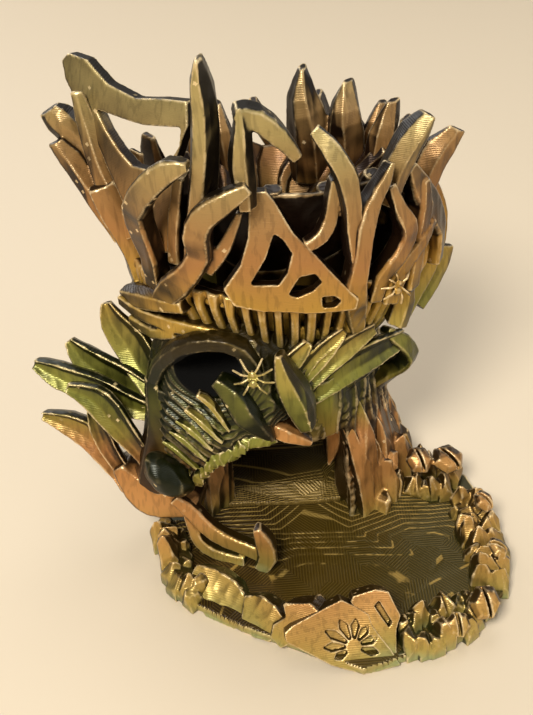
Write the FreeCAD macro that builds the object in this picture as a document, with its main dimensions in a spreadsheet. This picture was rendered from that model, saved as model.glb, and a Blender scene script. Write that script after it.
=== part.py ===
import FreeCAD
import Part
import Sketcher

import math
import os
import random
import sys

from FreeCAD import Placement, Rotation, Vector

# A free-standing dice tower printed in silk filament: a rock-rimmed tray, a root-and-rock trunk with a
# spiked beast skull over the mouth, and a flared crown of roots around the funnel that the dice go into.
# Units are millimetres. The origin is on the table under the tower's vertical axis, +Z is up and the
# tray reaches out towards -Y.

SHEET_VALUES = {
    "base_thick": 4.0,      # tray slab under the floor
    "floor_drop": 1.0,      # how far the tray floor is sunk into the slab
    "tube_rad": 25.0,       # outside of the drop tube
    "tube_wall": 2.4,
    "tube_base": 58.0,      # height of the tube's lower end
    "tube_top": 119.0,      # height of the tube's upper end, where the funnel starts
    "trunk_foot_rad": 45.0,
    "trunk_top_rad": 35.0,
    "trunk_top": 86.0,
    "trunk_wall": 6.0,
    "bowl_top": 117.0,      # height of the crown bowl's lip
    "bowl_rx": 52.0,        # bowl lip's half width
    "bowl_ry": 40.0,        # bowl lip's half depth
    "bowl_foot_rx": 35.0,
    "bowl_foot_ry": 28.0,
    "bowl_wall": 3.0,
    "bowl_overlap": 4.0,    # how far the bowl reaches down round the trunk
    "rim_rx": 47.0,         # funnel rim's half width
    "rim_ry": 37.0,         # funnel rim's half depth
    "rim_mid": 146.0,       # height of the funnel rim at the tower's axis
    "rim_tilt": 15.0,       # the rim is higher at the front, in degrees
    "funnel_wall": 3.0,
    "mouth_width": 58.0,    # opening over the tray that the dice leave by
    "mouth_top": 50.0,
    "baffle_thick": 3.0,
    "baffle_tilt": 35.0,
    "column_lean": 7.0,     # the rock columns lean in as they rise, in degrees
    "gill_count": 60.0,
    "gill_depth": 5.0,
    "gill_proud": 3.5,      # how far the gills stand off the bowl
    "stone_height": 15.0,
    "cap_thick": 9.0,       # broad mushroom caps at the front
    "mark_deep": 2.4,       # how far the spider is sunk into its cap
    "slab_thick": 10.0,     # leaning slabs on the rim's left
    "sail_thick": 5.0,
    "lattice_thick": 6.0,
}

SEED = 7
STATIONS_PER_SPAN = 2     # loft sections between two points of a spine
CROWN_FLATTEN = 0.77      # the crown's depth over its width

# Cross-sections as (share of width, share of depth behind the front face).
RIBBON = ((-0.40, 0.0), (0.40, 0.0), (0.50, -0.16), (0.36, -0.84), (0.0, -1.0), (-0.36, -0.84),
          (-0.50, -0.16))
LEAF = ((-0.22, 0.0), (0.22, 0.0), (0.50, -0.45), (0.20, -0.92), (-0.20, -0.92), (-0.50, -0.45))
GILL = ((-0.26, 0.0), (0.26, 0.0), (0.50, -0.45), (0.42, -1.0), (-0.42, -1.0), (-0.50, -0.45))
SCOOP = ((-0.44, 0.0), (-0.20, -0.30), (0.16, -0.32), (0.44, -0.02), (0.50, -0.32), (0.20, -0.92),
         (-0.20, -1.0), (-0.50, -0.34))
ROUND = ((-0.30, 0.0), (0.30, 0.0), (0.50, -0.30), (0.50, -0.70), (0.30, -1.0), (-0.30, -1.0),
         (-0.50, -0.70), (-0.50, -0.30))

# Members of the crown: node, section, depth, and a spine of (x, y, z, width) down the front face.
# Members with the same node name grow together into one piece.
CROWN_MEMBERS = (
    ("claw_left", RIBBON, 9, ((-28, -46, 173, 3), (-35, -44, 171, 8), (-42, -40, 164, 9), (-49, -33, 151, 9),
                              (-48, -31, 139, 9), (-46, -31, 130, 8), (-46, -28, 117, 8))),
    ("claw_left", RIBBON, 7, ((-32, -34, 163, 4), (-34, -31, 152, 5), (-36, -30, 141, 5),
                              (-37, -31, 128, 5))),
    ("tall_spike", LEAF, 14, ((-22, -45, 206, 2), (-23, -44, 198, 7), (-23, -43, 188, 9), (-24, -42, 175, 10),
                              (-26, -40, 160, 10), (-29, -39, 145, 9), (-32, -37, 128, 8))),
    ("arm_left", RIBBON, 10, ((-10, -48, 165, 4), (-18, -49, 161, 8), (-25, -48, 156, 9), (-28, -46, 148, 9),
                              (-28, -44, 139, 8), (-33, -42, 130, 9), (-39, -37, 121, 11), (-45, -30, 111, 8))),
    ("arm_left", RIBBON, 6, ((-14, -42, 153, 2), (-18, -42, 144, 4), (-22, -42, 137, 5), (-26, -40, 130, 4))),
    ("front_fork", LEAF, 9, ((-11, -41, 189, 3), (-11, -42, 182, 6), (-12, -43, 173, 8), (-12, -44, 165, 8),
                             (-12, -45, 155, 7))),
    ("front_fork", RIBBON, 9, ((-12, -41, 187, 4), (-6, -40, 184, 7), (0, -39, 177, 7), (6, -37, 168, 4))),
    ("s_ribbon", RIBBON, 12, ((11, -40, 179, 4), (15, -42, 175, 6), (19, -44, 170, 7), (22, -45, 163, 7),
                              (23, -45, 154, 6), (23, -44, 146, 6), (24, -44, 132, 5))),
    ("s_ribbon", RIBBON, 7, ((18, -43, 163, 3), (17, -43, 156, 4), (16, -43, 149, 5), (13, -45, 144, 5),
                             (8, -46, 141, 4))),
    ("v_blades", RIBBON, 10, ((36, -38, 165, 2), (34, -40, 160, 4), (30, -42, 153, 6), (27, -44, 145, 7),
                              (26, -44, 136, 7), (24, -45, 125, 8), (24, -43, 113, 9), (25, -37, 98, 6))),
    ("v_blades", RIBBON, 9, ((36, -37, 156, 3), (39, -37, 148, 5), (43, -36, 140, 7), (43, -35, 133, 7),
                             (39, -37, 127, 7), (34, -38, 121, 7), (31, -38, 111, 6))),
    ("right_spike", LEAF, 12, ((50, -30, 175, 3), (47, -31, 169, 8), (43, -32, 162, 10), (40, -33, 156, 10),
                               (37, -34, 146, 8))),
    ("right_ribbons", RIBBON, 9, ((54, -20, 132, 3), (50, -26, 128, 5), (44, -32, 124, 6), (40, -34, 118, 8),
                                  (37, -35, 108, 7))),
    ("right_ribbons", RIBBON, 8, ((44, -28, 157, 4), (49, -24, 147, 10), (54, -18, 136, 11),
                                  (58, -13, 124, 8), (57, -13, 110, 7))),
    ("right_ribbons", LEAF, 9, ((45, -28, 113, 5), (45, -28, 104, 9), (42, -29, 94, 8))),
    ("right_ribbons", RIBBON, 9, ((50, -24, 150, 3), (51, -24, 140, 6), (49, -26, 130, 6), (47, -28, 120, 6),
                                  (46, -28, 110, 6))),
    ("right_side_spikes", LEAF, 11, ((67, 5, 152, 3), (63, 4, 145, 8), (59, 2, 138, 10), (55, 0, 128, 10))),
    ("right_side_spikes", LEAF, 12, ((46, 18, 160, 3), (45, 19, 152, 9), (43, 20, 143, 13),
                                     (41, 20, 131, 13))),
    ("right_outer_rib", ROUND, 12, ((57, 6, 134, 7), (61, 6, 124, 9), (62, 5, 114, 9), (60, 2, 103, 9),
                                    (55, -2, 93, 8), (47, -8, 80, 7))),
    ("right_outer_rib", ROUND, 9, ((67, 12, 100, 4), (65, 10, 94, 7), (61, 6, 87, 7), (54, 0, 79, 6))),
    ("back_spikes", LEAF, 15, ((13, 30, 171, 3), (13, 30, 162, 12), (15, 31, 152, 17), (16, 32, 141, 19),
                               (16, 33, 128, 19))),
    ("back_spikes", LEAF, 13, ((30, 26, 166, 3), (30, 26, 158, 11), (30, 28, 149, 15), (29, 30, 134, 16))),
    ("back_spikes", LEAF, 9, ((43, 34, 152, 3), (41, 34, 145, 7), (38, 34, 136, 8), (37, 33, 126, 8))),
    ("back_spikes", LEAF, 10, ((-20, 31, 158, 3), (-20, 31, 149, 8), (-19, 31, 140, 10), (-18, 31, 128, 9))),
    ("leaves_left", ROUND, 10, ((-80, 14, 166, 5), (-77, 13, 161, 10), (-73, 11, 155, 10), (-67, 7, 147, 8),
                                (-59, 3, 134, 7))),
    ("leaves_left", LEAF, 9, ((-78, 6, 158, 4), (-75, 5, 151, 9), (-71, 3, 144, 11), (-66, 0, 135, 10),
                              (-60, -4, 122, 8))),
    ("leaves_left", LEAF, 9, ((-67, 4, 178, 2), (-67, 4, 168, 6), (-66, 2, 159, 9), (-64, -1, 149, 10),
                              (-61, -5, 140, 9), (-57, -9, 126, 8))),
    ("edge_rib_left", ROUND, 10, ((-65, -6, 146, 6), (-62, -7, 134, 8), (-59, -8, 125, 8), (-56, -10, 116, 8),
                                  (-54, -12, 107, 9))),
    ("edge_rib_left", ROUND, 12, ((-60, -14, 106, 7), (-53, -23, 109, 10), (-43, -33, 112, 8),
                                  (-36, -38, 114, 6))),
    ("leaf_long", SCOOP, 7, ((44, -21, 82, 9), (34, -28, 82, 14), (23, -34, 80, 14), (14, -38, 76, 11),
                             (7, -40, 71, 6))),
    ("leaf_long", RIBBON, 5, ((36, -20, 72, 5), (28, -26, 71, 8), (18, -31, 69, 8), (9, -35, 66, 5))),
    ("leaf_long", SCOOP, 6, ((33, -29, 94, 5), (22, -36, 91, 10), (12, -40, 86, 10), (5, -42, 78, 5))),
    ("leaf_long", SCOOP, 6, ((20, -37, 99, 4), (13, -40, 94, 9), (6, -42, 87, 9), (0, -43, 78, 4))),
    ("leaf_long", SCOOP, 6, ((7, -41, 99, 4), (2, -43, 94, 8), (-3, -43, 88, 8), (-6, -43, 80, 4))),
    ("curl_leaf", RIBBON, 8, ((38, -23, 88, 4), (44, -21, 80, 7), (48, -19, 71, 8), (45, -17, 63, 8),
                              (39, -16, 57, 8), (33, -16, 51, 9), (28, -16, 43, 10))),
    ("hood_ledge", RIBBON, 9, ((-61, -15, 105, 5), (-52, -24, 103, 6), (-40, -33, 103, 6), (-27, -38, 103, 5),
                               (-15, -41, 100, 4), (-5, -41, 94, 3))),
    ("hood_ledge", RIBBON, 7, ((-58, -17, 97, 5), (-49, -26, 96, 5), (-40, -33, 100, 4))),
)

# Members of the skull. Their front faces look along -Y, a little to the left.
SKULL_FACE = Vector(-0.25, -0.95, 0.18)
SKULL_MEMBERS = (
    ("frill_horn_1", SCOOP, 9, ((-66, -13, 102, 4), (-64, -16, 95, 12), (-59, -20, 87, 17), (-54, -26, 80, 17),
                                (-48, -32, 72, 12))),
    ("frill_horn_2", SCOOP, 9, ((-82, -14, 86, 4), (-77, -18, 80, 12), (-71, -21, 75, 15), (-61, -26, 72, 15),
                                (-49, -31, 69, 11))),
    ("frill_horn_3", SCOOP, 9, ((-97, -16, 78, 4), (-88, -20, 75, 11), (-77, -24, 71, 13), (-65, -29, 67, 12),
                                (-52, -33, 64, 9))),
    ("frill_horn_4", SCOOP, 7, ((-83, -28, 76, 4), (-75, -31, 72, 12), (-69, -34, 66, 14), (-63, -37, 57, 11),
                                (-57, -39, 45, 7), (-55, -39, 36, 6))),
    ("frill_horn_5", SCOOP, 9, ((-97, -20, 55, 4), (-88, -24, 53, 11), (-79, -27, 48, 14), (-73, -30, 40, 12),
                                (-65, -35, 28, 10))),
    ("frill_horn_6", SCOOP, 7, ((-76, -29, 68, 3), (-75, -31, 59, 8), (-73, -32, 51, 9), (-70, -34, 43, 8),
                                (-65, -36, 32, 7))),
    ("eye_ridges", ROUND, 9, ((-52, -34, 74, 6), (-47, -37, 88, 7), (-39, -41, 98, 7), (-28, -44, 103, 7),
                              (-17, -46, 100, 7), (-11, -47, 91, 6))),
    ("eye_ridges", ROUND, 8, ((-52, -34, 77, 6), (-41, -41, 75, 7), (-29, -45, 77, 7), (-17, -48, 85, 7))),
    ("cheek_bone", ROUND, 11, ((-50, -35, 82, 7), (-50, -38, 68, 10), (-51, -40, 56, 13), (-54, -41, 43, 15),
                               (-57, -40, 31, 15))),
    ("nose_bud", ROUND, 12, ((-28, -48, 89, 5), (-22, -51, 84, 11), (-17, -53, 76, 11.5), (-13, -53, 70, 8),
                            (-8, -52, 63, 3))),
    ("nose_horn", ROUND, 12, ((-4, -49, 101, 3), (-3, -51, 92, 8), (-1, -52, 84, 10), (1, -52, 76, 11),
                              (4, -51, 66, 7))),
    ("beak", ROUND, 9, ((-11, -47, 66, 8), (-3, -50, 63, 8), (6, -50, 59, 3))),
    ("jaw_hinge", ROUND, 22, ((-69, -36, 40, 8), (-63, -39, 31, 18), (-56, -41, 26, 22), (-49, -43, 25, 19),
                              (-40, -46, 23, 9))),
    ("jaw_bars", RIBBON, 7, ((-48, -45, 30, 5), (-41, -48, 23, 7), (-35, -51, 17, 7), (-27, -55, 13, 7),
                             (-15, -61, 10, 7))),
    ("jaw_bars", RIBBON, 6, ((-43, -46, 22, 5), (-41, -50, 14, 5), (-37, -53, 9, 5), (-30, -56, 6, 5),
                             (-23, -59, 6, 5))),
    ("jaw_bars", RIBBON, 8, ((-17, -60, 27, 3), (-15, -61, 19, 7), (-14, -62, 11, 8), (-17, -62, 4, 6))),
    ("hanging_tooth", LEAF, 11, ((15, -29, 52, 11), (16, -29, 43, 12), (15, -29, 34, 9), (14, -29, 26, 2))),
)

# Upper teeth from the nose down to the jaw's corner, as spines like those above, and the lip's line.
TEETH = (
    ((-34, -49.5, 85, 2), (-29, -51, 80, 4), (-23, -51.5, 70, 2)),
    ((-39, -47, 77, 2), (-34, -50, 73, 4.4), (-26, -51.5, 65, 2)),
    ((-43, -45, 70, 2), (-38, -48.5, 68, 4.6), (-30, -51, 61, 2)),
    ((-46, -44, 64, 2), (-41, -47, 62, 4.6), (-33, -50, 55, 2)),
    ((-49, -43, 58, 2), (-44, -45.5, 55, 4.2), (-37, -48.5, 49, 2)),
    ((-51, -42, 51, 2), (-47, -43.5, 49, 3.8), (-40, -47, 44, 2)),
)
LIP = ((-9, -50, 64), (-17, -50.5, 63), (-23, -50, 58), (-29, -49.5, 55), (-33, -48.5, 50), (-36, -47, 44),
       (-37, -46, 40))

# Tray outline on the table, counter-clockwise from the left of the mouth, and the sunk floor's outline.
TRAY_OUTLINE = ((-55, -30), (-54, -56), (-47, -71), (-24, -87), (-6, -96), (18, -109), (37, -104), (58, -97),
                (74, -80), (78, -62), (77, -36), (72, -18), (56, -6), (46, 12), (36, 32), (16, 42), (-12, 42),
                (-36, 32), (-48, 12))
FLOOR_OUTLINE = ((-34, -30), (-39, -50), (-28, -65), (-6, -79), (14, -89), (38, -90), (56, -79), (63, -64),
                 (65, -46), (53, -33), (36, -25), (24, -4), (-24, -4))

# Runs of rim stones: node, way-points (x, y) along the middle of the run, stones, height factor.
STONE_RUNS = (
    ("rim_stones_left", ((-54, -36), (-51, -57)), 5, 1.6),
    ("rim_stones_left", ((-48, -42), (-45, -62), (-38, -70)), 7, 0.8),
    ("rim_stones_left", ((-52, -59), (-40, -73)), 4, 0.9),
    ("rim_stones_front", ((34, -102), (52, -96), (68, -84)), 9, 0.8),
    ("rim_stones_front", ((32, -93), (48, -89), (60, -80)), 8, 1.0),
    ("rim_stones_right", ((72, -79), (75, -60), (74, -44), (71, -30)), 12, 1.0),
    ("rim_stones_right", ((65, -76), (68, -60), (67, -44), (64, -34)), 11, 1.2),
    ("rim_stones_right", ((62, -26), (52, -27), (38, -22)), 7, 1.1),
    ("rim_stones_right", ((68, -20), (56, -15), (42, -10)), 6, 1.6),
)

# Split mushrooms on the rim: x, y, height of the foot, cap radius, cap height, turn and lean in degrees.
MUSHROOMS = ((37, -22, 19, 7, 8, 250, 35), (37, -25, 9, 6, 7, 240, 55), (50, -22, 18, 6, 8, 290, 30),
             (61, -21, 15, 7, 9, 310, 25), (71, -45, 14, 5, 7, 330, 30), (72, -66, 10, 5, 7, 350, 35),
             (63, -88, 10, 7, 9, 290, 45), (53, -95, 8, 5, 6, 280, 50))

# Legs of the spider sunk into the front cap: direction in degrees, and reach from its middle.
SPIDER_LEGS = ((-20, 10), (14, 9.5), (48, 9), (80, 10), (112, 11), (144, 12), (174, 11), (206, 8))

# Leaning slabs of rock on the rim's left: outlines in the plane of their faces.
RIM_SLABS = (
    ((2, 15), (3, 19), (11, 20), (20, 18), (26, 14), (30, 11), (30, 4), (27, 2), (19, -1), (12, 2), (8, 8)),
    ((26, 14), (32, 17), (39, 16), (44, 13), (45, 10), (41, 2), (34, 1), (28, 4)),
    ((41, 4), (41, 9), (45, 14), (43, 18), (53, 22), (57, 20), (53, 9), (46, 1)),
)

# Side view of the exit ramp: distance back from the tower's axis, and height.
RAMP_PROFILE = ((-34, 3), (34, 3), (34, 40), (24, 27), (12, 17), (-2, 11), (-18, 6.5))

# Rock columns around the trunk: node, first and last azimuth in degrees, radius, count, lowest and
# highest top.
COLUMN_RUNS = (
    ("columns_left", 188, 224, 43, 6, 30, 48),
    ("columns_right", 303, 366, 41, 9, 44, 76),
    ("columns_right", 312, 360, 46, 6, 14, 34),
    ("columns_back", 8, 188, 41, 17, 46, 88),
    ("columns_back", 14, 184, 44, 13, 14, 42),
)

doc = FreeCAD.newDocument("dice_tower")
sheet = doc.addObject("Spreadsheet::Sheet", "Dimensions")
for row, (alias, value) in enumerate(SHEET_VALUES.items(), start=1):
    sheet.set(f"A{row}", alias)
    sheet.set(f"B{row}", str(value))
    sheet.setAlias(f"B{row}", alias)
doc.recompute()

nodes = {}


def size(alias):
    """A driving dimension, in mm."""
    return float(getattr(sheet, alias))


def keep(label, obj):
    """Names a finished piece and marks it for export."""
    obj.Label = label
    nodes[label] = obj
    return obj


def keep_shape(label, solids):
    """A finished piece whose solids are worked out here, placed by the middle of its foot."""
    box = Part.makeCompound(solids).BoundBox
    foot = Vector(box.Center.x, box.Center.y, box.ZMin)
    obj = doc.addObject("Part::Feature", label)
    obj.Shape = Part.makeCompound([solid.translated(Vector() - foot) for solid in solids])
    obj.Placement = Placement(foot, Rotation())
    return keep(label, obj)


def bind(obj, **expressions):
    """Binds properties of a document object to cells of the sheet."""
    for prop, expression in expressions.items():
        obj.setExpression(prop, expression)
    return obj


def primitive(kind, name, base=(0, 0, 0), turn=None, **expressions):
    """A Part primitive with sizes bound to the sheet, at a base point, turned if asked."""
    obj = doc.addObject(f"Part::{kind}", name)
    bind(obj, **expressions)
    obj.Placement = Placement(Vector(*base), turn or Rotation())
    return obj


def cut(name, base, *tools):
    """Base less each tool in turn, as Part::Cut objects."""
    for index, tool in enumerate(tools):
        result = doc.addObject("Part::Cut", f"{name}_cut{index}")
        result.Base = base
        result.Tool = tool
        base = result
    return base


def smooth_spine(points):
    """Catmull-Rom stations through hand-placed spine points of any length."""
    rows = [points[0], *points, points[-1]]
    out = []
    for i in range(1, len(rows) - 2):
        a, b, c, d = rows[i - 1:i + 3]
        for step in range(STATIONS_PER_SPAN):
            t = step / STATIONS_PER_SPAN
            out.append([0.5 * (2 * q + (r - p) * t + (2 * p - 5 * q + 4 * r - s) * t * t
                               + (3 * q - p - 3 * r + s) * t ** 3) for p, q, r, s in zip(a, b, c, d)])
    out.append(list(points[-1]))
    return out


def outward(point):
    """Direction away from the tower's axis, for members of the oval crown."""
    return Vector(point.x, point.y / CROWN_FLATTEN ** 2, 0).normalize()


def blade(spine, section, depth, face=None):
    """A solid swept down a spine, with its flat front face turned outwards or towards face."""
    rows = smooth_spine(spine)
    centres = [Vector(*row[:3]) for row in rows]
    wires = []
    for i, (centre, row) in enumerate(zip(centres, rows)):
        along = (centres[min(i + 1, len(rows) - 1)] - centres[max(i - 1, 0)]).normalize()
        normal = face or outward(centre)
        normal = (normal - along * normal.dot(along)).normalize()
        side = along.cross(normal)
        widest = max(r[3] for r in rows)
        here = depth * max(0.35, min(1.0, 0.35 + 0.8 * row[3] / widest))
        corners = [centre + side * (u * row[3]) + normal * (v * here) for u, v in section]
        wires.append(Part.makePolygon(corners + corners[:1]))
    return Part.makeLoft(wires, True, True)


def oval(degrees, rx, ry, height):
    """A point on an upright-sided oval."""
    a = math.radians(degrees)
    return rx * math.cos(a), ry * math.sin(a), height


def prism_between(levels):
    """A closed solid through polygons with the same number of corners, from the lowest up."""
    wires = [Part.makePolygon([*map(lambda p: Vector(*p), ring), Vector(*ring[0])]) for ring in levels]
    return Part.makeLoft(wires, True, True)


def shave(solid, point, normal):
    """A solid less everything on the outer side of a plane."""
    reach = 400
    block = Part.makeBox(reach, reach, reach, Vector(-reach / 2, -reach / 2, 0))
    block.Placement = Placement(point, Rotation(Vector(0, 0, 1), normal))
    return solid.cut(block)


def rock(rng, middle, heading, along, across, height, steep=35):
    """A broken stone: a block shaved by planes that lean over its top and corners."""
    solid = Part.makeBox(2 * along, 2 * across, height, Vector(-along, -across, 0))
    for i in range(6):
        turn = math.radians(60 * i + rng.uniform(-20, 20))
        rise = math.radians(rng.uniform(steep * 0.35, steep))
        normal = Vector(math.cos(turn) * math.cos(rise), math.sin(turn) * math.cos(rise), math.sin(rise))
        edge = Vector(along * math.cos(turn), across * math.sin(turn), height * rng.uniform(0.35, 0.7))
        solid = shave(solid, edge, normal)
    turn = rng.uniform(0, 2 * math.pi)
    slope = Vector(0.45 * math.cos(turn), 0.45 * math.sin(turn), 1)
    solid = shave(solid, Vector(0, 0, height * rng.uniform(0.82, 0.95)), slope)
    solid.rotate(Vector(), Vector(0, 0, 1), math.degrees(heading))
    solid.translate(middle)
    return solid


def new_body(label, plane_role, placement=None):
    """A PartDesign body with one sketch on an origin plane."""
    body = doc.addObject("PartDesign::Body", label)
    sketch = body.newObject("Sketcher::SketchObject", f"{label}_outline")
    attach(sketch, body, plane_role)
    if placement:
        body.Placement = placement
    return body, sketch


def attach(sketch, body, plane_role):
    plane = next(f for f in body.Origin.OriginFeatures if f.Role == plane_role)
    sketch.AttachmentSupport = [(plane, "")]
    sketch.MapMode = "FlatFace"


def polygon_loop(sketch, points):
    """A closed run of line segments in a sketch."""
    first = sketch.GeometryCount
    count = len(points)
    for i in range(count):
        a, b = points[i], points[(i + 1) % count]
        sketch.addGeometry(Part.LineSegment(Vector(a[0], a[1], 0), Vector(b[0], b[1], 0)), False)
    for i in range(count):
        sketch.addConstraint(Sketcher.Constraint("Coincident", first + i, 2, first + (i + 1) % count, 1))


def pad(body, sketch, **expressions):
    feature = body.newObject("PartDesign::Pad", f"{body.Name}_pad")
    feature.Profile = sketch
    return bind(feature, **expressions)


# ---------------------------------------------------------------- tray

def make_tray():
    """The slab that everything stands on, with a floor pocket for the dice."""
    body, sketch = new_body("tray_base", "XY_Plane")
    polygon_loop(sketch, TRAY_OUTLINE)
    pad(body, sketch, Length="Dimensions.base_thick")
    doc.recompute()
    floor = body.newObject("Sketcher::SketchObject", "floor_outline")
    attach(floor, body, "XY_Plane")
    floor.AttachmentOffset = Placement(Vector(0, 0, size("base_thick")), Rotation())
    polygon_loop(floor, FLOOR_OUTLINE)
    pocket = body.newObject("PartDesign::Pocket", "floor_pocket")
    pocket.Profile = floor
    bind(pocket, Length="Dimensions.floor_drop")
    keep("tray_base", body)


def walk(points, share):
    """The point a given share of the way along a polyline, and the direction there."""
    spans = [math.dist(a, b) for a, b in zip(points, points[1:])]
    left = share * sum(spans)
    for a, b, span in zip(points, points[1:], spans):
        if left <= span or b is points[-1]:
            t = left / span
            return a[0] + (b[0] - a[0]) * t, a[1] + (b[1] - a[1]) * t, math.atan2(b[1] - a[1], b[0] - a[0])
        left -= span


def make_rim_stones():
    """The ring of broken stones around the tray, one node per stretch."""
    rng = random.Random(SEED)
    stones = {}
    for label, points, count, tall in STONE_RUNS:
        pitch = sum(math.dist(a, b) for a, b in zip(points, points[1:])) / count
        for i in range(count):
            x, y, heading = walk(points, (i + 0.5) / count)
            aside = rng.uniform(-2, 2)
            middle = Vector(x - aside * math.sin(heading), y + aside * math.cos(heading), 0)
            high = size("stone_height") * tall * rng.uniform(0.75, 1.25)
            along = pitch * rng.uniform(0.6, 0.8)
            stones.setdefault(label, []).append(rock(rng, middle, heading, along, rng.uniform(3.6, 5), high))
    for label, solids in stones.items():
        keep_shape(label, solids)


def slab(label, outline, hollows, placement, thick_alias, hollow_deep):
    """A leaning slab with sunk marks in its face, cut off level with the table."""
    body, sketch = new_body(label + "_slab", "XY_Plane")
    polygon_loop(sketch, outline)
    feature = pad(body, sketch, Length=f"Dimensions.{thick_alias}")
    feature.Reversed = True
    doc.recompute()
    for index, hollow in enumerate(hollows):
        mark = body.newObject("Sketcher::SketchObject", f"{label}_mark_{index}")
        attach(mark, body, "XY_Plane")
        polygon_loop(mark, hollow)
        pocket = body.newObject("PartDesign::Pocket", f"{label}_hollow_{index}")
        pocket.Profile = mark
        bind(pocket, Length=hollow_deep)
    body.Placement = placement
    table = primitive("Box", label + "_table", base=(-100, -200, -50), Length="200 mm", Width="250 mm",
                      Height="50 mm")
    keep(label, cut(label, body, table))


def leg(hub, degrees, start, reach, wide):
    """A thin kite from near a hub outwards, for one leg of a sunk spider."""
    a = math.radians(degrees)
    out, side = (math.cos(a), math.sin(a)), (-math.sin(a), math.cos(a))
    corners = ((start, -wide * 0.4), (start + (reach - start) * 0.6, -wide), (reach, 0),
               (start + (reach - start) * 0.6, wide), (start, wide * 0.4))
    return [(hub[0] + u * out[0] + v * side[0], hub[1] + u * out[1] + v * side[1]) for u, v in corners]


def make_front_caps():
    """Two broad mushroom caps that lean on the rim at the front, one with a spider sunk into it."""
    outline = ((-26, 15), (-26, 18), (-23, 20), (-5, 26), (4, 20), (5, 16), (11, 7), (14, 1), (1, -1), (-11, 4))
    hub = (-2.5, 9.5)
    legs = [leg(hub, degrees, 2.8, reach, 1.6) for degrees, reach in SPIDER_LEGS]
    frame = plate_frame((18, -108, 0.5), (40, -107, 0.5), 40)
    slab("mushroom_cap_spider", outline, legs, frame, "cap_thick", "Dimensions.mark_deep")
    outline = ((-2, 24), (-1, 26), (7, 28), (12, 27), (16, 18), (14, 13), (13, 4), (8, 4), (3, 14))
    slot = ((6.2, 22), (8, 24), (12.5, 16), (11.2, 14))
    frame = plate_frame((18, -107, 0.5), (40, -106, 0.5), 39)
    slab("mushroom_cap_front", outline, (slot,), frame, "cap_thick", "Dimensions.mark_deep * 1.5")


def make_rim_slabs():
    """Broken slabs that lean on the rim at its left, stepped so that no two faces lie in one plane."""
    slabs = []
    for index, outline in enumerate(RIM_SLABS):
        face = Part.Face(Part.makePolygon([Vector(u, v, 0) for u, v in outline + outline[:1]]))
        solid = face.extrude(Vector(0, 0, -size("slab_thick")))
        lean = plate_frame((-50, -72, -1 + index), (-15, -94, -1 + index), 46 - 6 * index)
        solid.Placement = lean
        slabs.append(shave(solid, Vector(), Vector(0, 0, -1)))
    keep_shape("rim_slabs", slabs)


def split_mushroom(x, y, foot, cap_rad, height, turn, lean):
    """A chiselled mushroom: a six-sided cap on a stem, split down the middle."""
    rings = []
    for share, spread in ((0, 0.45), (0.4, 0.35), (0.45, 0.95), (0.62, 1.0), (0.9, 0.72), (1.0, 0.3)):
        rings.append([oval(60 * i + 12, cap_rad * spread, cap_rad * spread, height * share) for i in range(6)])
    split = Part.makeBox(cap_rad * 2.4, 1.2, height, Vector(-cap_rad * 1.2, -0.6, height * 0.6))
    solid = prism_between(rings).cut(split)
    aim = Rotation(Vector(0, 0, 1), turn).multiply(Rotation(Vector(0, 1, 0), lean))
    solid.Placement = Placement(Vector(x, y, foot), aim)
    return solid


def make_small_mushrooms():
    """Mushrooms that grow out of the rim."""
    keep_shape("rim_mushrooms", [split_mushroom(*spot) for spot in MUSHROOMS])


# ---------------------------------------------------------------- trunk and dice path

def make_trunk():
    """The hollow trunk: a tapered shell with the dice mouth cut through its front and a knot hole."""
    outer = primitive("Cone", "trunk_outer", Radius1="Dimensions.trunk_foot_rad",
                      Radius2="Dimensions.trunk_top_rad", Height="Dimensions.trunk_top")
    inner = primitive("Cone", "trunk_inner", Radius1="Dimensions.trunk_foot_rad - Dimensions.trunk_wall",
                      Radius2="Dimensions.trunk_top_rad - Dimensions.trunk_wall",
                      Height="Dimensions.trunk_top")
    mouth = primitive("Box", "mouth_cutter", base=(-38, -60, 0), Length="Dimensions.mouth_width",
                      Width="60 mm", Height="Dimensions.mouth_top")
    knot = primitive("Cylinder", "knot_cutter", base=(10, 20, 66), turn=Rotation(Vector(1, 0, 0), -90),
                     Radius="9 mm", Height="40 mm")
    keep("trunk_shell", cut("trunk", outer, inner, mouth, knot))


def make_tube():
    """The straight drop tube that carries dice from the funnel down into the trunk."""
    outer = primitive("Cylinder", "tube_outer", base=(0, 0, size("tube_base")), Radius="Dimensions.tube_rad",
                      Height="Dimensions.tube_top - Dimensions.tube_base")
    inner = primitive("Cylinder", "tube_inner", base=(0, 0, size("tube_base")),
                      Radius="Dimensions.tube_rad - Dimensions.tube_wall",
                      Height="Dimensions.tube_top - Dimensions.tube_base")
    keep("drop_tube", cut("tube", outer, inner))


def make_baffles():
    """Two sloped plates that tumble the dice, and the ramp that sends them out of the mouth."""
    tilt = size("baffle_tilt")
    for label, high_edge, reach, turn in (("baffle_upper", (-20, 23, 98), -25, tilt),
                                          ("baffle_lower", (-20, -33, 76), 30, -tilt)):
        body, sketch = new_body(label, "XY_Plane")
        polygon_loop(sketch, ((0, 0), (40, 0), (38, reach * 0.6), (28, reach), (12, reach), (2, reach * 0.6)))
        pad(body, sketch, Length="Dimensions.baffle_thick")
        body.Placement = Placement(Vector(*high_edge), Rotation(Vector(1, 0, 0), turn))
        keep(label, body)
    body, sketch = new_body("exit_ramp", "YZ_Plane")
    polygon_loop(sketch, RAMP_PROFILE)
    feature = pad(body, sketch, Length="Dimensions.mouth_width - 4")
    feature.Midplane = True
    body.Placement = Placement(Vector(-6, 0, 0), Rotation())
    keep("exit_ramp", body)


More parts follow.
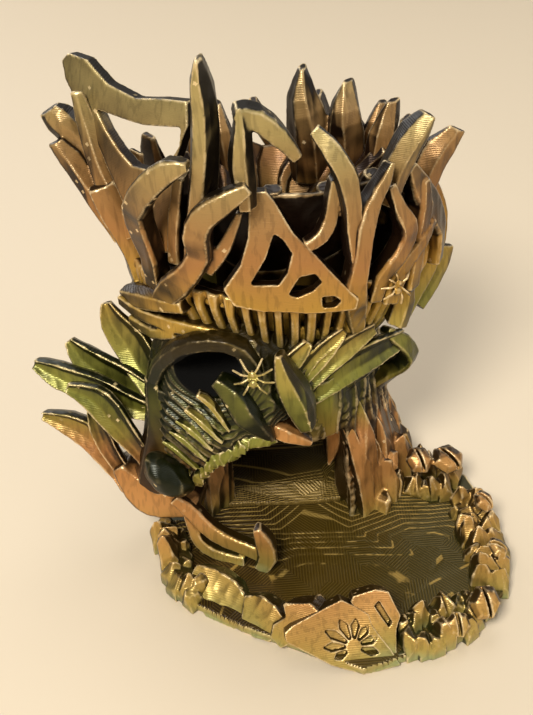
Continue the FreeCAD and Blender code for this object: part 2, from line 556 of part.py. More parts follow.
def make_columns():
    """Broken rock columns that hide the trunk, leaning in as they rise."""
    rng = random.Random(SEED + 1)
    columns = {}
    for label, start, end, radius, count, low, high in COLUMN_RUNS:
        reach = radius * math.radians(end - start) / count * 0.7
        for i in range(count):
            a = math.radians(start + (end - start) * (i + rng.uniform(0.3, 0.7)) / count)
            column = rock(rng, Vector(), a, rng.uniform(6, 8), reach, rng.uniform(low, high), steep=16)
            column.rotate(Vector(), Vector(math.sin(a), -math.cos(a), 0), size("column_lean"))
            column.translate(Vector(radius * math.cos(a), radius * math.sin(a), 0))
            columns.setdefault(label, []).append(shave(column, Vector(), Vector(0, 0, -1)))
    for label, solids in columns.items():
        keep_shape(label, solids)


# ---------------------------------------------------------------- crown

def ellipse(name, rx, ry, height, tilt=0.0):
    """An ellipse bound to the sheet, level or tilted about X."""
    obj = doc.addObject("Part::Ellipse", name)
    bind(obj, MajorRadius=rx, MinorRadius=ry)
    obj.Placement = Placement(Vector(0, 0, height), Rotation(Vector(1, 0, 0), tilt))
    return obj


def loft(name, *sections):
    obj = doc.addObject("Part::Loft", name)
    obj.Sections = list(sections)
    obj.Solid = True
    obj.Ruled = True
    return obj


def make_bowl():
    """The crown's flared under-bowl, open inside, with knot holes through its back."""
    wall = "Dimensions.bowl_wall"
    foot = size("trunk_top") - size("bowl_overlap")
    lip = size("bowl_top")
    outer = loft("bowl_outer", ellipse("bowl_o1", "Dimensions.bowl_foot_rx", "Dimensions.bowl_foot_ry", foot),
                 ellipse("bowl_o2", "Dimensions.bowl_rx", "Dimensions.bowl_ry", lip))
    inner = loft("bowl_inner",
                 ellipse("bowl_i1", f"Dimensions.bowl_foot_rx - {wall}", f"Dimensions.bowl_foot_ry - {wall}",
                         foot),
                 ellipse("bowl_i2", f"Dimensions.bowl_rx - {wall}", f"Dimensions.bowl_ry - {wall}", lip))
    holes = [primitive("Cylinder", f"knot_{n}", base=(x, 10, z), turn=Rotation(Vector(1, 0, 0), -90),
                       Radius=f"{rad} mm", Height="45 mm") for n, (x, z, rad) in
             enumerate(((26, 96, 8), (-24, 98, 8), (2, 104, 6)))]
    keep("crown_bowl", cut("bowl", outer, inner, *holes))


def make_funnel():
    """The funnel that guides dice into the tube. Its rim is higher at the front."""
    wall = "Dimensions.funnel_wall"
    low = size("tube_top")
    mid = size("rim_mid")
    tilt = -size("rim_tilt")
    outer = loft("funnel_outer", ellipse("funnel_o1", "Dimensions.tube_rad + 0.5", "Dimensions.tube_rad", low),
                 ellipse("funnel_o2", "Dimensions.rim_rx", "Dimensions.rim_ry", mid, tilt))
    inner = loft("funnel_inner",
                 ellipse("funnel_i1", f"Dimensions.tube_rad - {wall} + 0.5", f"Dimensions.tube_rad - {wall}",
                         low),
                 ellipse("funnel_i2", f"Dimensions.rim_rx - {wall}", f"Dimensions.rim_ry - {wall}", mid,
                         tilt))
    keep("funnel", cut("funnel", outer, inner))


def make_gills():
    """The ring of upright gills under the crown's lip."""
    count = int(size("gill_count"))
    rng = random.Random(SEED)
    fins = []
    foot_z = size("trunk_top") - size("bowl_overlap")
    lip_z = size("bowl_top") + size("gill_proud")
    for i in range(count):
        a = 2 * math.pi * (i + 0.5) / count
        c, s = math.cos(a), math.sin(a)
        low = (size("bowl_foot_rx") + size("gill_proud")) * c, (size("bowl_foot_ry") + size("gill_proud")) * s
        top = (size("bowl_rx") + size("gill_proud")) * c, (size("bowl_ry") + size("gill_proud")) * s
        bend = [(low[k] * 0.55 + top[k] * 0.45) * 1.04 for k in (0, 1)]
        wide = rng.uniform(3.6, 4.4)
        fork = lip_z - rng.uniform(6, 9)
        spine = ((*low, foot_z, wide * 0.8), (*bend, foot_z + 15, wide), (*top, fork, wide),
                 (*top, lip_z, wide * 1.6))
        fins.append(blade(spine, GILL, size("gill_depth")))
    keep_shape("gills", fins)


def plate_frame(left_foot, right_foot, lean_degrees):
    """A placement whose X runs between two plan points, whose Y rises, and whose Z faces outwards."""
    a, b = Vector(*left_foot), Vector(*right_foot)
    heading = math.degrees(math.atan2(b.y - a.y, b.x - a.x))
    turn = Rotation(Vector(0, 0, 1), heading).multiply(Rotation(Vector(1, 0, 0), 90 - lean_degrees))
    return Placement(a, turn)


def make_plate(label, outline, holes, placement, thick_alias):
    """A flat member with holes, padded inwards from its front face."""
    body, sketch = new_body(label, "XY_Plane")
    polygon_loop(sketch, outline)
    for hole in holes:
        polygon_loop(sketch, hole)
    feature = pad(body, sketch, Length=f"Dimensions.{thick_alias}")
    feature.Reversed = True
    body.Placement = placement
    keep(label, body)


def make_sail():
    """The broad antler plate at the crown's left, with its three-sided window."""
    outline = ((-21, 65), (-24, 62), (-22, 56), (-12, 45), (-4, 35), (1, 28), (6, 20), (13, 12), (20, 6),
               (32, 8), (34, 20), (32, 32), (29, 40), (31, 47), (33, 52), (32, 60), (21, 59), (10, 57),
               (-2, 59), (-12, 65))
    window = ((-7, 49), (3, 49), (14, 49), (30, 51), (30, 45), (27, 40), (23, 36), (17, 34), (10, 34), (4, 38),
              (-2, 43))
    frame = plate_frame((-62, -12, 124), (-25, -42, 124), 15)
    make_plate("sail_plate", outline, (window,), frame, "sail_thick")


def make_root_panel():
    """The A-shaped root panel in the middle of the front, with three windows."""
    outline = ((12, 42), (10, 37), (9, 27), (6, 18), (0, 10), (3, 4), (12, 1), (28, -1), (44, -1), (45, 3),
               (35, 15), (30, 22), (25, 28), (19, 38), (16, 42))
    holes = (((18, 28), (21, 26), (24, 21), (22, 14), (19, 10), (9, 11), (11, 14), (15, 20)),
             ((26, 12), (31, 13), (33, 10), (30, 7), (25, 5), (22, 6)),
             ((33, 5), (37, 5), (39, 3), (37, 1), (33, 1)))
    frame = plate_frame((-21, -47, 117), (25, -47, 117), 12)
    make_plate("root_panel", outline, holes, frame, "lattice_thick")


def make_lip():
    """The knotted roots that run round the crown's lip, above the gills, in two halves."""
    rng = random.Random(SEED + 2)
    halves = []
    for start in (172, 352):
        spine = []
        for step in range(15):
            x, y, z = oval(start + step * 14, size("bowl_rx") + 1, size("bowl_ry") + 1, size("bowl_top"))
            spine.append((x, y, z + rng.uniform(-1.5, 1.5), rng.uniform(5, 8)))
        halves.append(blade(spine, ROUND, 8))
    keep_shape("lip_roots", halves)


def make_inner_roots():
    """Roots that run down the inside of the funnel and swirl into the drop tube."""
    rng = random.Random(SEED + 4)
    roots = []
    foot, rim = size("tube_top") + 1, size("rim_mid")
    for degrees in range(0, 360, 24):
        spine = []
        for share in (0.0, 0.35, 0.7, 1.0):
            turn = degrees + rng.uniform(-4, 4) + 14 * share
            rx = size("rim_rx") + (size("tube_rad") - size("rim_rx")) * share - 1.5
            ry = size("rim_ry") + (size("tube_rad") - size("rim_ry")) * share - 1.5
            a = math.radians(turn)
            tilt = -math.tan(math.radians(size("rim_tilt"))) * ry * math.sin(a) * (1 - share)
            spine.append((*oval(turn, rx, ry, rim + (foot - rim) * share + tilt), 7 - 3 * share))
        roots.append(blade(spine, ROUND, 5))
    keep_shape("inner_roots", roots)


def make_back_cage():
    """Root ribs around the back of the crown, so that the cage closes behind the funnel."""
    rng = random.Random(SEED + 3)
    ribs = []
    for degrees in range(14, 180, 18):
        a = degrees + rng.uniform(-4, 4)
        sway = rng.uniform(-7, 7)
        top = rng.uniform(136, 156)
        foot = size("bowl_top") - 10
        spine = []
        for share, reach, wide in ((1.0, 1.08, 3), (0.7, 1.14, 8), (0.35, 1.1, 9), (0.0, 1.0, 8)):
            turn = a + sway * math.sin(share * 5)
            spine.append((*oval(turn, size("bowl_rx") * reach, size("bowl_ry") * reach,
                                foot + (top - foot) * share), wide))
        ribs.append(blade(spine, RIBBON, 9))
    keep_shape("back_ribs", ribs)


# ---------------------------------------------------------------- skull and spiders

def make_skull():
    """The beast's skull mask: a faceted block over the mouth, cut for the drop tube and an eye socket."""
    rings = (
        ((-50, -31, 44), (-47, -39, 44), (-42, -43, 44), (-37, -45, 44), (-35, -40, 44), (-40, -31, 44)),
        ((-52, -30, 49), (-48, -41, 49), (-40, -46, 49), (-32, -48, 51), (-29, -42, 52), (-36, -28, 50)),
        ((-54, -29, 57), (-48, -42, 57), (-36, -48, 57), (-25, -51, 58), (-17, -44, 60), (-30, -25, 59)),
        ((-54, -28, 66), (-47, -42, 66), (-31, -50, 65), (-12, -51, 64), (-2, -43, 65), (-24, -23, 66)),
        ((-53, -27, 77), (-44, -40, 77), (-26, -49, 78), (-6, -50, 77), (8, -40, 76), (-16, -20, 76)),
        ((-50, -24, 91), (-42, -36, 91), (-25, -44, 92), (-8, -47, 91), (8, -38, 90), (-16, -18, 90)),
        ((-43, -24, 101), (-36, -34, 102), (-24, -40, 103), (-12, -41, 102), (-2, -32, 100), (-18, -18, 100)),
        ((-36, -25, 105), (-32, -31, 105), (-24, -35, 105), (-14, -35, 105), (-8, -30, 105), (-18, -22, 105)),
    )
    mask = prism_between(rings)
    socket = Part.makeSphere(1)
    stretch = FreeCAD.Matrix()
    stretch.scale(12.5, 13, 9.5)
    socket = socket.transformGeometry(stretch)
    socket.Placement = Placement(Vector(-29, -42, 90), Rotation(Vector(0, 0, 1), 18))
    shaft = Part.makeCylinder(size("tube_rad") + 0.5, 80, Vector(0, 0, 40))
    keep_shape("skull_mask", [mask.cut([socket, shaft])])


def make_teeth():
    """Leaf-shaped upper teeth stacked down the skull's face, and the ragged lip under them."""
    pieces = [blade(spine, LEAF, 6, SKULL_FACE) for spine in TEETH]
    rng = random.Random(SEED + 5)
    for (x, y, z), (x2, y2, z2) in zip(LIP, LIP[1:]):
        for share in (0.0, 0.33, 0.66):
            middle = Vector(x + (x2 - x) * share, y + (y2 - y) * share, z + (z2 - z) * share - 2)
            scale = rng.uniform(1.6, 2.4)
            pieces.append(rock(rng, middle, rng.uniform(0, 3), scale, scale, scale * 2.6))
    keep_shape("upper_teeth", pieces)


def make_chin():
    """The smooth round boss at the jaw's corner."""
    ball = Part.makeSphere(1)
    stretch = FreeCAD.Matrix()
    stretch.scale(8, 8, 9.5)
    ball = ball.transformGeometry(stretch)
    ball.Placement = Placement(Vector(-48, -46, 44), Rotation(Vector(0, 1, 0), -18))
    keep_shape("chin_boss", [ball])


def make_neck_boss():
    """The round stem under the leaves at the skull's right."""
    stem = primitive("Cone", "neck_boss", base=(12, -29, 50), turn=Rotation(Vector(0, 1, 0), -6),
                     Radius1="8 mm", Radius2="9 mm", Height="27 mm")
    keep("neck_boss", stem)


def spider(middle, normal, scale):
    """A spider in relief: two body lumps and eight bent legs, flat against a surface."""
    turn = Rotation(Vector(0, 0, 1), normal)
    solids = []
    for reach, along in ((1.5, -1.6), (1.1, 1.1)):
        solids.append(Part.makeSphere(reach * scale, Vector(0, along * scale, 0.3 * scale)))
    for side in (-1, 1):
        for k in range(4):
            a = math.radians(32 + 38 * k)
            knee = Vector(side * 3.4 * math.sin(a), 3.4 * math.cos(a), 1.4) * scale
            foot = Vector(side * 6.4 * math.sin(a), 6.0 * math.cos(a) * 1.05, -0.6) * scale
            for p, q in ((Vector(0, 0.3 * scale, 0.2), knee), (knee, foot)):
                solids.append(Part.makeCone(0.42 * scale, 0.34 * scale, (q - p).Length, p, q - p))
    shape = solids[0].multiFuse(solids[1:])
    shape.Placement = Placement(Vector(*middle), turn)
    return shape


def make_members(members, face=None):
    """The blade-like members of a table, those with one name in one piece."""
    for label in dict.fromkeys(member[0] for member in members):
        keep_shape(label, [blade(spine, section, depth, face) for name, section, depth, spine in members
                           if name == label])


make_tray()
make_rim_stones()
make_front_caps()
make_rim_slabs()
make_small_mushrooms()
make_trunk()
make_tube()
make_baffles()
make_columns()
make_bowl()
make_funnel()
make_gills()
make_sail()
make_root_panel()
make_lip()
make_inner_roots()
make_back_cage()
make_skull()
make_teeth()
make_chin()
make_neck_boss()
make_members(CROWN_MEMBERS)
make_members(SKULL_MEMBERS, SKULL_FACE)
keep_shape("spider_skull", [spider((-13, -50, 93), Vector(-0.1, -0.9, 0.35), 1.25)])
keep_shape("spider_crown", [spider((40, -38, 117), Vector(0.45, -0.85, 0.3), 1.1)])
doc.recompute()

bad = [o.Label for o in doc.Objects if {"Invalid", "Error"} & set(o.State)]
for label, obj in nodes.items():
    shape = obj.Shape
    if shape.isNull() or not shape.isValid() or not shape.Solids or shape.Volume <= 0:
        bad.append(label)
if bad:
    print("failed:", sorted(set(bad)))
    sys.exit(1)

os.makedirs("parts", exist_ok=True)
for label, obj in nodes.items():
    obj.Shape.exportStep(f"parts/{label}.step")
print(len(nodes), "nodes")
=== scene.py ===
import math
import random

import bpy
import numpy as np
from mathutils import Matrix, Vector
from mathutils.bvhtree import BVHTree
from mathutils.geometry import delaunay_2d_cdt


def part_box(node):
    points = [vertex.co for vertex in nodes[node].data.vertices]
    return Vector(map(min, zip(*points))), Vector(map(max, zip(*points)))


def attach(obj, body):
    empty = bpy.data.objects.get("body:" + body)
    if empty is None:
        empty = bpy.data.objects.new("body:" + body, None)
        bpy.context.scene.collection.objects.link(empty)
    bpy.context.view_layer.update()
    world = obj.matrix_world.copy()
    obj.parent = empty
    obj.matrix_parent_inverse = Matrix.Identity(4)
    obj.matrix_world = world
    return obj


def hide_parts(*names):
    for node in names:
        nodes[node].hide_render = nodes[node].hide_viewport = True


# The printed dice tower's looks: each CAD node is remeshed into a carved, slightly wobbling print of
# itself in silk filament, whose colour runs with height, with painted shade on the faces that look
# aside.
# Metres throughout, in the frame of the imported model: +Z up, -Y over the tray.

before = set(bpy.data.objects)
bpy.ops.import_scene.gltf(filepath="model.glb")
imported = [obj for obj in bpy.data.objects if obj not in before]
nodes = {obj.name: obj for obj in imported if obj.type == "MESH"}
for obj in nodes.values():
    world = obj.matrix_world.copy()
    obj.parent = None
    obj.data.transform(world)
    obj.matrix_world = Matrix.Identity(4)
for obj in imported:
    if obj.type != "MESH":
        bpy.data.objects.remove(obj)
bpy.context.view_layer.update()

MM = 0.001
SEED = 11
EYE = (-0.029, -0.042, 0.090)             # the skull's eye socket, an ellipsoid
EYE_RADII = (0.0125, 0.013, 0.0095)


# ---------------------------------------------------------------- camera, light, floor

CAMERA_PLACE = (-0.008, -0.335, 0.330)
CAMERA_TILT = 51.22                       # degrees up from looking straight down
CAMERA_ROLL = -4.18                       # degrees
LENS = 54.08                              # mm, for a sensor of this height
SENSOR = 36.0

FRONT = (0, -0.02, 0.08)
MIDDLE = (0, 0, 0.1)
WHITE = (1.0, 1.0, 1.0)
# Soft round lamps: name, place, the point each shines on, width, watts, tint.
LAMPS = (
    ("key", (-0.30, -0.65, 0.95), FRONT, 0.35, 11.5, (1.0, 0.965, 0.90)),
    ("fill", (0.75, -0.45, 0.45), FRONT, 0.7, 1.2, WHITE),
    ("top", (0.05, 0.40, 0.90), MIDDLE, 0.6, 2.4, WHITE),
    ("back", (-0.45, 0.75, 0.55), MIDDLE, 0.6, 2.6, WHITE),
    ("side", (0.80, 0.55, 0.45), MIDDLE, 0.6, 1.6, WHITE))
SKY_TINT = (1.0, 0.96, 0.90, 1.0)
SKY_STRENGTH = 0.22

FLOOR_REACH = 8.0
FLOOR_TONES = ((0.3, "dccaae"), (0.7, "e2d2b8"))
FLOOR_MOTTLE = 6.0
FLOOR_ROUGHNESS = 0.6


def make_camera():
    """The main view: a little left of the tower's axis, high, looking down over the tray."""
    data = bpy.data.cameras.new("camera")
    data.sensor_fit = "VERTICAL"
    data.sensor_height = SENSOR
    data.lens = LENS
    data.clip_start = 10 * MM
    camera = bpy.data.objects.new("camera", data)
    tilt = Matrix.Rotation(math.radians(CAMERA_TILT), 4, "X")
    roll = Matrix.Rotation(math.radians(CAMERA_ROLL), 4, "Z")
    camera.matrix_world = Matrix.Translation(CAMERA_PLACE) @ tilt @ roll
    bpy.context.scene.collection.objects.link(camera)
    bpy.context.scene.camera = camera


def area_light(name, place, target, width, power, tint):
    """A round lamp at a place, turned to shine on a target."""
    data = bpy.data.lights.new(name, "AREA")
    data.shape = "DISK"
    data.size = width
    data.energy = power
    data.color = tint
    light = bpy.data.objects.new(name, data)
    turn = (Vector(target) - Vector(place)).to_track_quat("-Z", "Y").to_matrix().to_4x4()
    light.matrix_world = Matrix.Translation(place) @ turn
    bpy.context.scene.collection.objects.link(light)


def make_studio():
    """The lamps, a pale even sky and plain colours."""
    for lamp in LAMPS:
        area_light(*lamp)
    world = bpy.data.worlds.new("studio")
    world.use_nodes = True
    background = world.node_tree.nodes["Background"]
    background.inputs["Color"].default_value = SKY_TINT
    background.inputs["Strength"].default_value = SKY_STRENGTH
    bpy.context.scene.world = world
    bpy.context.scene.view_settings.view_transform = "Standard"


def make_floor():
    """A plain pale ground, far wider than the tower."""
    mesh = bpy.data.meshes.new("floor")
    reach = FLOOR_REACH
    corners = [(-reach, -reach, 0), (reach, -reach, 0), (reach, reach, 0), (-reach, reach, 0)]
    mesh.from_pydata(corners, [], [(0, 1, 2, 3)])
    floor = bpy.data.objects.new("floor", mesh)
    material, shader, tree = new_material("pale_floor")
    noise = tree.nodes.new("ShaderNodeTexNoise")
    noise.inputs["Scale"].default_value = FLOOR_MOTTLE
    tones = colour_ramp(tree, FLOOR_TONES)
    tree.links.new(noise.outputs["Fac"], tones.inputs["Fac"])
    tree.links.new(tones.outputs["Color"], shader.inputs["Base Color"])
    shader.inputs["Roughness"].default_value = FLOOR_ROUGHNESS
    mesh.materials.append(material)
    bpy.context.scene.collection.objects.link(floor)


# ---------------------------------------------------------------- shader nodes

def linear(code):
    """A hex colour as it looks on screen, as linear RGBA."""
    parts = [int(code[i:i + 2], 16) / 255 for i in (0, 2, 4)]
    return (*(((c + 0.055) / 1.055) ** 2.4 if c > 0.04045 else c / 12.92 for c in parts), 1.0)


def new_material(name):
    """A node material, with its main shader and its node tree."""
    material = bpy.data.materials.new(name)
    material.use_nodes = True
    tree = material.node_tree
    return material, tree.nodes["Principled BSDF"], tree


def object_place(tree):
    """The place in the object's frame, as one vector and as its X, Y and Z."""
    place = tree.nodes.new("ShaderNodeTexCoord").outputs["Object"]
    split = tree.nodes.new("ShaderNodeSeparateXYZ")
    tree.links.new(place, split.inputs[0])
    return place, split.outputs


def colour_ramp(tree, stops):
    """A colour ramp with (place, hex colour) stops."""
    ramp = tree.nodes.new("ShaderNodeValToRGB")
    elements = ramp.color_ramp.elements
    while len(elements) < len(stops):
        elements.new(0.5)
    for element, (place, code) in zip(elements, stops):
        element.position = place
        element.color = linear(code)
    return ramp


def maths(tree, operation, a, b=None, c=None):
    """A Math node fed by sockets or numbers."""
    node = tree.nodes.new("ShaderNodeMath")
    node.operation = operation
    for socket, value in zip(node.inputs, (a, b, c)):
        if value is None:
            continue
        if isinstance(value, (int, float)):
            socket.default_value = value
        else:
            tree.links.new(value, socket)
    return node.outputs[0]


def vector_maths(tree, operation, *terms):
    """A Vector Math node fed by sockets or fixed vectors."""
    node = tree.nodes.new("ShaderNodeVectorMath")
    node.operation = operation
    for socket, value in zip(node.inputs, terms):
        if isinstance(value, tuple):
            socket.default_value = value
        else:
            tree.links.new(value, socket)
    return node.outputs["Value" if operation in ("DOT_PRODUCT", "LENGTH") else "Vector"]


def mix_colour(tree, factor, a, b):
    """One colour turned into another by a factor; each is a socket or a fixed value."""
    node = tree.nodes.new("ShaderNodeMix")
    node.data_type = "RGBA"
    colour_a, colour_b = node.inputs[6], node.inputs[7]
    for socket, value in ((node.inputs["Factor"], factor), (colour_a, a), (colour_b, b)):
        if isinstance(value, (float, tuple)):
            socket.default_value = value
        else:
            tree.links.new(value, socket)
    return node.outputs[2]


def fitted(tree, value, low, high):
    """A value mapped smoothly from low..high to 0..1."""
    node = tree.nodes.new("ShaderNodeMapRange")
    node.interpolation_type = "SMOOTHSTEP"
    node.inputs["From Min"].default_value = low
    node.inputs["From Max"].default_value = high
    tree.links.new(value, node.inputs["Value"])
    return node.outputs["Result"]


def noise_in(tree, place, scale, squeeze=(1.0, 1.0, 1.0), detail=3.0):
    """A noise texture in the frame; an axis squeezed to less than one draws the pattern out along it."""
    noise = tree.nodes.new("ShaderNodeTexNoise")
    noise.inputs["Scale"].default_value = scale
    noise.inputs["Detail"].default_value = detail
    tree.links.new(vector_maths(tree, "MULTIPLY", place, squeeze), noise.inputs["Vector"])
    return noise.outputs["Fac"]


# ---------------------------------------------------------------- silk filament

# Colour by height in millimetres: the lit tone for faces that look out, the painted shade for faces that
# look aside.
LIT_TONES = ((0, "a9ae74"), (5, "b89f50"), (12, "c2984c"), (24, "cc9252"), (44, "bb8046"), (55, "958136"),
          (68, "868433"), (82, "979340"), (94, "b09a48"), (104, "c59d40"), (118, "bd8f3c"),
          (135, "b27d45"), (155, "a9834f"), (180, "b5a066"), (207, "b09c62"))
SHADE_TONES = ((0, "3a3e1a"), (12, "3c2b0b"), (28, "2e1b06"), (50, "241605"), (62, "141903"), (84, "181b04"),
        (98, "2e2306"), (115, "2e1c06"), (140, "231309"), (170, "1d160b"), (207, "1a150b"))
TALLEST = 210.0
# The tone of the painted highlight on edges.
EDGE_HIGHLIGHT_TONE = "ffe3ae"
# The painted shade deep in the eye socket.
EYE_SHADE_TONE = "060401"
METALLIC = 0.40
ROUGHNESS = 0.24

CLOUD = 38.0                              # noise scales: wandering tones, patches where the painted highlights on edges are strongest
EDGE_HIGHLIGHT_PATCHES = 140.0
STREAKS = (600.0, (1.0, 1.0, 0.12), 2.0)  # scale, squeeze and detail
GRAIN = (900.0, (0.12, 0.12, 1.6))
WANDER = 22 * MM                          # how far the tones wander up and down
PRINT_LAYER = 0.55 * MM
BUMP_STRENGTH = 0.5
BUMP_DEPTH = 0.10 * MM

# What counts as looking out, and so gets the lit tone rather than the painted shade: away from the axis
# by X and Y, with some of upwards, or along FORWARDS.
OUTWARD = (0.55, 0.90, 0.0)
UPWARD = (0.0, 0.0, 0.34)
FORWARDS = (0.05, -0.82, 0.42)
LIT_FROM = 0.54                           # a face that looks out less than this gets the painted shade
LIT_FULLY = 0.80                          # and one that looks out more than this gets the full lit tone


def faces_out(tree, place, normal):
    """How far a face looks out from the tower's axis or forwards; side faces come out low."""
    unit = vector_maths(tree, "NORMALIZE", vector_maths(tree, "MULTIPLY", place, (1.0, 1.0, 0.0)))
    aim = vector_maths(tree, "MULTIPLY_ADD", unit, OUTWARD, UPWARD)
    from_axis = vector_maths(tree, "DOT_PRODUCT", normal, aim)
    forwards = vector_maths(tree, "DOT_PRODUCT", normal, FORWARDS)
    return maths(tree, "MAXIMUM", from_axis, forwards)


def shade_inside_eye(tree, place, depth):
    """Where the eye socket is painted in shade: one deep inside it, nothing on its rim and away from it.
    """
    offset = vector_maths(tree, "SUBTRACT", place, EYE)
    share = vector_maths(tree, "LENGTH", vector_maths(tree, "DIVIDE", offset, EYE_RADII))
    behind_rim = fitted(tree, depth, EYE[1] - 4 * MM, EYE[1] - 2 * MM)
    return maths(tree, "MULTIPLY", fitted(tree, share, 1.12, 1.03), behind_rim)


def tones_by_height(tree, height, cloud, raised):
    """The lit tone and the painted-shade tone at a height, both wandering a little up and down."""
    drift = maths(tree, "MULTIPLY_ADD", cloud, WANDER, raised * MM - WANDER / 2)
    level = maths(tree, "DIVIDE", maths(tree, "ADD", height, drift), TALLEST * MM)
    tones = []
    for table in (LIT_TONES, SHADE_TONES):
        ramp = colour_ramp(tree, [(z / TALLEST, code) for z, code in table])
        tree.links.new(level, ramp.inputs["Fac"])
        tones.append(ramp.outputs["Color"])
    return tones


def lit_share(tree, place, normal, cloud, shade_reach):
    """The share of the lit tone against the painted shade: nothing on faces that look aside, one on
    faces that look out, with an uneven border.
    """
    uneven = maths(tree, "MULTIPLY_ADD", cloud, 0.30, -0.15)
    turned = maths(tree, "ADD", faces_out(tree, place, normal), uneven)
    return fitted(tree, turned, LIT_FROM + shade_reach, LIT_FULLY + shade_reach)


def edge_highlight_and_crease_shade(tree, place, pointiness, colour, lit_tone, shade_tone, edges):
    """A colour with painted highlights on its edges, strongest in patches, and painted shade in its
    creases.
    """
    patches = fitted(tree, noise_in(tree, place, EDGE_HIGHLIGHT_PATCHES), 0.40, 0.58)
    strength = maths(tree, "MULTIPLY_ADD", patches, 0.75 * edges, 0.25 * edges)
    edge_highlight = maths(tree, "MULTIPLY", fitted(tree, pointiness, 0.510, 0.545), strength)
    # pale is the lit tone made paler: the painted highlight on edges.
    pale = mix_colour(tree, 0.65, lit_tone, linear(EDGE_HIGHLIGHT_TONE))
    crease_shade = maths(tree, "MULTIPLY", fitted(tree, pointiness, 0.49, 0.42), 0.85)
    return mix_colour(tree, crease_shade, mix_colour(tree, edge_highlight, colour, pale), shade_tone)


def print_relief(tree, place, height):
    """Fine print layers over a slight grain."""
    layers = maths(tree, "SINE", maths(tree, "MULTIPLY", height, 2 * math.pi / PRINT_LAYER))
    return maths(tree, "MULTIPLY_ADD", layers, 0.35, noise_in(tree, place, *GRAIN))


def silk(name, shade_reach=0.0, raised=0.0, streaks=0.22, edges=1.0, eye=False):
    """Silk filament: colour by height, painted shade on side faces, painted highlights on edges, fine
    print layers.

    A wider shade reach leaves fewer faces lit. A raised material takes its colour from so many
    millimetres further up. Streaks and edges set how strongly those show, edges for the painted
    highlights, and eye paints the eye socket black as painted shade."""
    material, shader, tree = new_material(name)
    place, axes = object_place(tree)
    geometry = tree.nodes.new("ShaderNodeNewGeometry")
    cloud = noise_in(tree, place, CLOUD)
    lit_tone, shade_tone = tones_by_height(tree, axes["Z"], cloud, raised)
    # Faces that look out take the lit tone, faces that look aside the painted shade.
    lit = lit_share(tree, place, geometry.outputs["Normal"], cloud, shade_reach)
    colour = mix_colour(tree, lit, shade_tone, lit_tone)
    streak = fitted(tree, noise_in(tree, place, *STREAKS), 0.50, 0.62)
    colour = mix_colour(tree, maths(tree, "MULTIPLY", streak, streaks), colour, shade_tone)
    # Painted highlights on edges and painted shade in creases.
    colour = edge_highlight_and_crease_shade(tree, place, geometry.outputs["Pointiness"], colour, lit_tone, shade_tone, edges)
    roughness = maths(tree, "MULTIPLY_ADD", cloud, 0.2, ROUGHNESS)
    # The eye socket is painted near black as painted shade, and made rough there.
    if eye:
        eye_shade = shade_inside_eye(tree, place, axes["Y"])
        colour = mix_colour(tree, eye_shade, colour, linear(EYE_SHADE_TONE))
        roughness = maths(tree, "MAXIMUM", roughness, eye_shade)
    tree.links.new(colour, shader.inputs["Base Color"])
    finish_silk(tree, shader, print_relief(tree, place, axes["Z"]), roughness)
    return material


def finish_silk(tree, shader, relief, roughness):
    """The sheen and the fine bump that every silk material shares."""
    bump = tree.nodes.new("ShaderNodeBump")
    bump.inputs["Strength"].default_value = BUMP_STRENGTH
    bump.inputs["Distance"].default_value = BUMP_DEPTH
    tree.links.new(relief, bump.inputs["Height"])
    tree.links.new(bump.outputs["Normal"], shader.inputs["Normal"])
    tree.links.new(roughness, shader.inputs["Roughness"])
    shader.inputs["Metallic"].default_value = METALLIC


# The tray floor's colours: from left to right, its infill strokes, and the painted highlight on the ends
# of its layers.
GROUND_TONES = ((0.0, "33230a"), (0.45, "54400c"), (1.0, "443b14"))
STROKE_TONE = "8d7432"
LAYER_STEP_HIGHLIGHT_TONE = "a88a45"
GROUND_MOTTLE = 45.0
GROUND_BREAKS = 150.0
GROUND_LAYER = 0.30 * MM                  # the height of a print layer in the tray floor
GROUND_LIFT = 0.05 * MM                   # how far its top stands above a whole number of layers
PATCHES = 75.0                            # the scale of the infill's patches
STROKE_PITCH = 1.1 * MM


def silk_ground(name):
    """The tray's floor: brown, hatched in patches, with a painted highlight on the slope where a print
    layer ends.
    """
    material, shader, tree = new_material(name)
    place, axes = object_place(tree)
    rightwards = maths(tree, "SUBTRACT", fitted(tree, axes["X"], -0.040, 0.060), 0.25)
    mottled = maths(tree, "MULTIPLY_ADD", noise_in(tree, place, GROUND_MOTTLE), 0.5, rightwards)
    tones = colour_ramp(tree, GROUND_TONES)
    tree.links.new(mottled, tones.inputs["Fac"])

    strokes = infill_lines(tree, place, axes)
    stroke = maths(tree, "MULTIPLY", fitted(tree, strokes, 0.1, 1.0), 0.28)
    colour = mix_colour(tree, stroke, tones.outputs["Color"], linear(STROKE_TONE))
    # The painted highlight along the layer steps, broken up in patches and whole near the ramp.
    broken = fitted(tree, noise_in(tree, place, GROUND_BREAKS), 0.46, 0.58)
    whole = maths(tree, "MAXIMUM", broken, fitted(tree, axes["Y"], -0.052, -0.036))
    step_highlight = maths(tree, "MULTIPLY", on_layer_end(tree, axes["Z"]), whole)
    colour = mix_colour(tree, step_highlight, colour, linear(LAYER_STEP_HIGHLIGHT_TONE))
    tree.links.new(colour, shader.inputs["Base Color"])
    finish_silk(tree, shader, strokes, maths(tree, "MULTIPLY_ADD", whole, 0.1, 0.34))
    return material


def on_layer_end(tree, height):
    """Where the painted highlight goes: one on the slope between two print layers, low down on it, and
    nothing on the flats.
    """
    layers = maths(tree, "DIVIDE", maths(tree, "SUBTRACT", height, GROUND_LIFT), GROUND_LAYER)
    share = maths(tree, "FRACT", layers)
    return maths(tree, "MULTIPLY", fitted(tree, share, 0.02, 0.12), fitted(tree, share, 0.55, 0.30))


